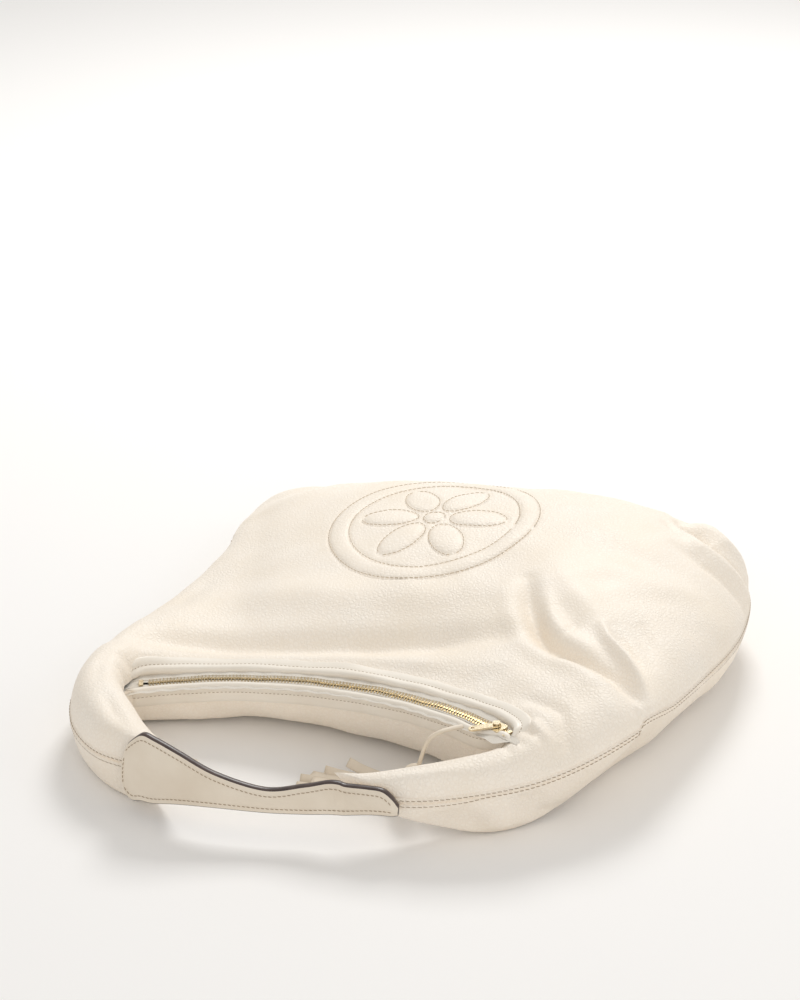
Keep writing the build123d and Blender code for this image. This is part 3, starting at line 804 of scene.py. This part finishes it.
def build_zip():
    angles = np.linspace(90 - ZIP_HALF_ANGLE - 2.4, 90 + ZIP_HALF_ANGLE + 2.2, 260)
    up = np.tile([-ZIP_SLOPE, 0, 1.0], (len(angles), 1))
    for side, name in ((1, "front"), (-1, "back")):
        piece = grid_mesh("zip_tape_%s_cloth" % name, zip_tape(side, angles), flip=side > 0)
        dress(piece, TAPE)
        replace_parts(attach(piece, "bag"), "zip_tape_" + name)
        bead_line = zip_point(angles, 5.3 * side + chain_wave(angles) * 0.9, 0.1)
        bead = strip("zip_tape_%s_bead" % name, bead_line, up, rounded_section(1.3, 0.9, 0.4))
        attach(dress(bead, TAPE), "bag")
        teeth = dress(zip_teeth(side), GOLD)
        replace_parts(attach(teeth, "bag"), "zip_teeth_" + name)
    for node in ("zip_stops", "zip_slider", "zip_puller", "pocket_zip_teeth", "pocket_zip_slider"):
        paint_node(node, GOLD)


# ---- leather bands beside the zip ----
FACING_GROOVE = (6.0, 0.75)      # distance and height of the stitched groove


def facing_profile(front):
    """(distance from the edge, height) of the turned leather band beside the zip."""
    far = 13.0 if front else 14.0
    return [(-0.6, -2.2), (-1.3, -0.6), (-0.9, 1.0), (0.4, 2.0), (2.2, 2.35), (4.0, 1.9), (5.2, 1.0),
            FACING_GROOVE, (7.0, 1.0), (8.4, 1.25), (far - 3.2, 1.2), (far - 2, 1.1), (far - 0.7, 0.85),
            (far, 0.2), (far + 0.3, -0.8)]


def build_facings():
    u = np.linspace(BODY_FIRST - 0.55, BODY_LAST + 0.5, 420)
    taper = (smoothstep(u[0], u[0] + 0.5, u) * (1 - smoothstep(u[-1] - 0.5, u[-1], u)))[:, None]
    for front, name in ((True, "front"), (False, "back")):
        base, normal = leather_points(front, u, np.linspace(0, 0.4, 160) ** 1.6)
        lengths = row_lengths(base)
        inward = base[:, 1, :] - base[:, 0, :]
        inward /= np.linalg.norm(inward, axis=1, keepdims=True)
        profile = facing_profile(front)
        columns = []
        for distance, height in profile:
            point = at_distance(base, lengths, np.full(len(u), max(distance, 0.0)))
            above = at_distance(normal, lengths, np.full(len(u), max(distance, 3.0)))
            level = height * taper - 2.0 * (1 - taper)
            columns.append(point + above * level + inward * min(distance, 0.0) * taper)
        grid = np.stack(columns, axis=1)
        band = grid_mesh("zip_facing_%s_leather" % name, grid, flip=not front)
        dress(band, FACING)
        subdivide = band.modifiers.new("round", "SUBSURF")
        subdivide.levels = subdivide.render_levels = 1
        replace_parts(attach(band, "bag"), "zip_facing_" + name)
        groove = grid[:, profile.index(FACING_GROOVE)]
        line = stitches("facing_stitches_" + name, groove, normal[:, 20, :], *FACING_STITCH)
        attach(dress(line, THREAD), "bag")


# ---- arms' filling and lining ----
ARM_CORES = (("left_arm_core", 0.9, 5.0), ("right_arm_core", 19.0, 22.0))      # (node, stations)
CORE_DEPTH_TOP, CORE_DEPTH_BOTTOM = 9.0, 9.5     # below the leather, so that creases stay clear
LINING_DEPTH = 3.6


def build_insides():
    for name, first, last in ARM_CORES:
        u = np.linspace(first, last, 40)
        v = cosine_spread(20)
        top = base_surface(True, u, v, CORE_DEPTH_TOP)
        bottom = base_surface(False, u, v, CORE_DEPTH_BOTTOM)[:, ::-1]
        loop = np.concatenate([top, bottom[:, 1:-1]], axis=1)
        rows, columns = loop.shape[:2]
        faces = grid_faces(rows, columns, wrap=True).tolist()
        core = dress(make_mesh(name + "_wadding", loop, faces), WADDING)
        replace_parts(core, name)
        over_fold(core)
    u = np.linspace(BODY_FIRST, BODY_LAST, 120)
    for front, name in ((True, "lining_front"), (False, "lining_back")):
        points, normal = leather_points(front, u, cosine_spread(60))
        points = (points - normal * LINING_DEPTH)[:, 3:-2]
        cloth = dress(grid_mesh(name + "_cloth", points, flip=not front), LINING)
        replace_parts(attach(cloth, "bag"), name)
    for node in ("pocket_bag", "slip_pocket", "pocket_zip_tape"):
        paint_node(node, LINING)
    paint_node("lining_patch", FACING)


# ---- strap pad ----
# (x, y, lower edge, upper edge) along the pad, from the left arm to the right arm.
PAD = [
    (-112, -209, 20, 42), (-109, -210, 14, 49), (-104, -211, 11, 54), (-97, -211.6, 12.5, 58.5),
    (-88, -212, 13, 57), (-70, -212, 17, 52), (-44, -209, 19.5, 42), (-12, -201, 19.5, 34.5),
    (12, -192.5, 19.5, 38), (26, -188.8, 21, 42), (33, -187.2, 21.5, 42.5), (38, -186.3, 22, 41.5),
    (52, -184.5, 25, 42.5), (62, -183.3, 26.5, 42.5), (69, -182.3, 27, 38), (73, -181.3, 28, 33),
]
PAD_THICKNESS = 4.6
PAD_LEAN = 0.12                          # inward lean for each mm of height
PAD_CROWN = 1.6
PAD_CREASES = ((38, 0.5, 2.2), (31, 0.35, 1.6))     # (x, depth, width)


def pad_frame(count):
    rows = smooth_rows(PAD, np.linspace(0, len(PAD) - 1, count))
    tangent = np.gradient(rows[:, :2], axis=0)
    tangent /= np.linalg.norm(tangent, axis=1, keepdims=True)
    inward = np.stack([-tangent[:, 1], tangent[:, 0], np.zeros(count)], axis=1)
    return rows, inward


def pad_face(rows, inward, depth, shares, crown):
    """Points of one face of the pad at shares of its height."""
    low, high = rows[:, 2:3], rows[:, 3:4]
    level = low + (high - low) * shares[None]
    lean = (level - low) * PAD_LEAN
    puff = crown * np.sin(np.pi * shares)[None]
    xy = rows[:, None, :2] + inward[:, None, :2] * (lean + depth - puff)[..., None]
    return np.concatenate([xy, level[..., None]], axis=-1)


def build_pad():
    rows, inward = pad_frame(260)
    shares = np.linspace(0, 1, 25)
    creases = sum(depth * np.exp(-((rows[:, 0:1] - x) / width) ** 2) for x, depth, width in PAD_CREASES)
    outer = pad_face(rows, inward, 0.0, shares, PAD_CROWN)
    outer += inward[:, None] * (creases * np.sin(np.pi * shares)[None])[..., None]
    inner = pad_face(rows, inward, PAD_THICKNESS, shares, -0.8)
    for node, grid, flip in (("strap_pad_outer", outer, False), ("strap_pad_inner", inner, True)):
        piece = dress(grid_mesh(node + "_leather", grid, flip=flip), SMOOTH)
        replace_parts(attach(piece, "handle"), node)
    build_pad_edge(outer, inner)
    stitch_pad(rows, inward)


def build_pad_edge(outer, inner):
    """Painted edge that closes the pad all the way round."""
    rim = np.concatenate([outer[:, -1], outer[::-1, 0]])
    rim_inner = np.concatenate([inner[:, -1], inner[::-1, 0]])
    centre = (outer[:, -1] + outer[:, 0]) / 2
    outward = rim - np.concatenate([centre, centre[::-1]])
    outward /= np.maximum(np.linalg.norm(outward, axis=1, keepdims=True), 1e-6)
    columns = [rim * (1 - share) + rim_inner * share + outward * bulge
               for share, bulge in ((0.0, 0.0), (0.12, 0.7), (0.5, 0.9), (0.88, 0.7), (1.0, 0.0))]
    band = np.stack(columns, axis=1)
    faces = grid_faces(len(band), len(columns)).tolist()
    last = (len(band) - 1) * len(columns)
    for k in range(len(columns) - 1):
        faces.append([last + k, k, k + 1, last + k + 1])
    edge = dress(make_mesh("strap_pad_painted_edge", band, faces), PAINT)
    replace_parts(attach(edge, "handle"), "strap_pad_core")


def stitch_pad(rows, inward):
    """Stitches near the pad's long edges and across its wide left end."""
    inset, sunk = 3.2, 0.12
    first = 9
    height = (rows[:, 3] - rows[:, 2])[:, None]
    keep = slice(first, -8)
    for name, share in (("upper", 1 - inset / height), ("lower", inset / height)):
        level = rows[:, 2:3] + height * share
        depth = height * share * PAD_LEAN - PAD_CROWN * np.sin(np.pi * share) - sunk
        path = np.concatenate([rows[:, :2] + inward[:, :2] * depth, level], axis=1)
        row = stitches("pad_stitches_" + name, path[keep], -inward[keep], *PAD_STITCH)
        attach(dress(row, THREAD), "handle")
    share = np.linspace(inset, height[first, 0] - inset, 30) / height[first, 0]
    path = pad_face(rows, inward, 0.0, share, PAD_CROWN)[first] - inward[first] * sunk
    row = stitches("pad_stitches_left", path, np.tile(-inward[first], (30, 1)), *PAD_STITCH)
    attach(dress(row, THREAD), "handle")


# ---- tassel ----
CAP_START = np.array([65.9, -133.0, 34.8])
CAP_END = np.array([53.0, -132.0, 18.0])
CAP_RADII = [2.6, 3.6, 4.6, 5.2, 5.5, 5.6, 5.2, 5.2, 5.8, 6.1, 6.2, 6.2, 6.2, 5.9]
THONG_WIDTH = 2.6
THONG = [(90.2, -116.9, 62.4), (85, -122, 62.4), (78.5, -129, 61.5), (74, -132.3, 58), (71, -133.4, 52),
         (68, -133.5, 42), (66, -133, 35)]
STRIP_THICKNESS = 1.3
STRIP_ROOT_WIDTH, STRIP_TIP_WIDTH = 3.4, 6.8
STRIPS = [  # (tip, height half-way, twist)
    ((-20, -140, 1.2), 4.0, 0.1), ((-20, -133, 3.0), 5.0, -0.4), ((-14, -128, 6.0), 5.0, 0.5),
    ((-6, -124, 9.0), 7.0, -0.6), ((-2, -120, 6.0), 10.0, 0.7), ((8, -117, 14.0), 11.0, -0.5),
    ((-10, -136, 5.0), 8.0, 0.3),
]


def tassel_strip(number, tip, level, twist):
    """One flat strip that hangs from the cap in a curve, with a slight wave."""
    share = np.linspace(0, 1, 30)[:, None]
    root = CAP_END + np.array([1.5, (number - 3) * 0.8, (number % 3) * 1.0 - 3.0])
    tip = np.array(tip, float)
    middle = (root + tip) / 2 + np.array([4.0, 1.5, 0.0])
    middle[2] = level
    path = (1 - share) ** 2 * root + 2 * share * (1 - share) * middle + share ** 2 * tip
    path[:, 2] += 0.7 * np.sin(share[:, 0] * 8 + number) * share[:, 0]
    path[:, 2] = np.maximum(path[:, 2], 0.9)
    width = STRIP_ROOT_WIDTH + (STRIP_TIP_WIDTH - STRIP_ROOT_WIDTH) * smoothstep(0.0, 0.5, share[:, 0])
    tilt = twist * share[:, 0] ** 1.5 - 0.5 * share[:, 0]
    up = np.stack([np.zeros(30), np.sin(tilt), np.cos(tilt)], axis=1)
    section = np.array([rounded_section(w, STRIP_THICKNESS, 0.3, 2) for w in width])
    return dress(strip("tassel_strip_%d" % number, path, up, section), TASSEL)


def build_tassel():
    for number, (tip, level, twist) in enumerate(STRIPS):
        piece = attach(tassel_strip(number, tip, level, twist), "tassel")
        if number == 0:
            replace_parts(piece, "tassel_strips")
    sideways = [0, 1.0, 0.2]
    turn = np.linspace(0, 2 * math.pi, 24, endpoint=False)
    circle = np.stack([np.cos(turn), np.sin(turn)], axis=1)
    rings = np.array(CAP_RADII)[:, None, None] * circle
    path = CAP_START + np.linspace(0, 1, len(CAP_RADII))[:, None] * (CAP_END - CAP_START)
    cap = strip("tassel_cap_leather", path, np.tile(sideways, (len(path), 1)), rings)
    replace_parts(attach(dress(cap, TASSEL), "tassel"), "tassel_cap")
    path = smooth_rows(THONG, np.linspace(0, len(THONG) - 1, 40))
    thong = strip("tassel_thong", path, np.tile(sideways, (len(path), 1)),
                  rounded_section(THONG_WIDTH, THONG_WIDTH, 0.8))
    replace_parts(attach(dress(thong, TASSEL), "tassel"), "tassel_cord")


# ---- stage ----
FLOOR_REACH = 6.0        # m
LIGHTS = [  # (name, place in m, power in W, size in m)
    ("key", (-0.3, 1.4, 1.5), 21, 0.7),
    ("fill", (0.9, -2.0, 1.1), 9, 1.8),
    ("side", (2.0, 0.3, 1.3), 4, 1.2),
]


def build_stage():
    mesh = bpy.data.meshes.new("floor")
    corners = [(x * FLOOR_REACH, y * FLOOR_REACH, 0) for x, y in ((-1, -1), (1, -1), (1, 1), (-1, 1))]
    mesh.from_pydata(corners, [], [(0, 1, 2, 3)])
    floor = bpy.data.objects.new("floor", mesh)
    bpy.context.scene.collection.objects.link(floor)
    material = bpy.data.materials.new("studio_white")
    material.use_nodes = True
    shader = material.node_tree.nodes["Principled BSDF"]
    shader.inputs["Base Color"].default_value = (0.94, 0.92, 0.895, 1)
    shader.inputs["Roughness"].default_value = 0.9
    floor.data.materials.append(material)
    world = bpy.data.worlds.new("studio")
    world.use_nodes = True
    world.node_tree.nodes["Background"].inputs["Color"].default_value = (1.0, 0.995, 0.985, 1)
    world.node_tree.nodes["Background"].inputs["Strength"].default_value = 0.6
    bpy.context.scene.world = world
    for name, place, power, width in LIGHTS:
        light = bpy.data.lights.new(name, "AREA")
        light.energy = power
        light.size = width
        lamp = bpy.data.objects.new(name, light)
        lamp.location = place
        lamp.rotation_euler = (Vector((0, 0, 0.03)) - Vector(place)).to_track_quat("-Z", "Y").to_euler()
        bpy.context.scene.collection.objects.link(lamp)


def build_camera():
    """Camera of the main view; the Standard view transform keeps the cream and white unchanged."""
    bpy.context.scene.view_settings.view_transform = "Standard"
    camera = bpy.data.cameras.new("camera")
    camera.sensor_width = 36.0
    camera.sensor_fit = "VERTICAL"
    camera.sensor_height = 36.0
    camera.lens = 87.5
    viewer = bpy.data.objects.new("camera", camera)
    viewer.location = Vector((0.601, -1.364, 0.882)) + Vector(SHIFT / 1000)
    viewer.rotation_euler = Vector((-0.3656, 0.8211, -0.4384)).to_track_quat("-Z", "Y").to_euler()
    bpy.context.scene.collection.objects.link(viewer)
    bpy.context.scene.camera = viewer


build_leather()
build_zip()
build_facings()
build_insides()
build_pad()
build_tassel()
build_stage()
build_camera()
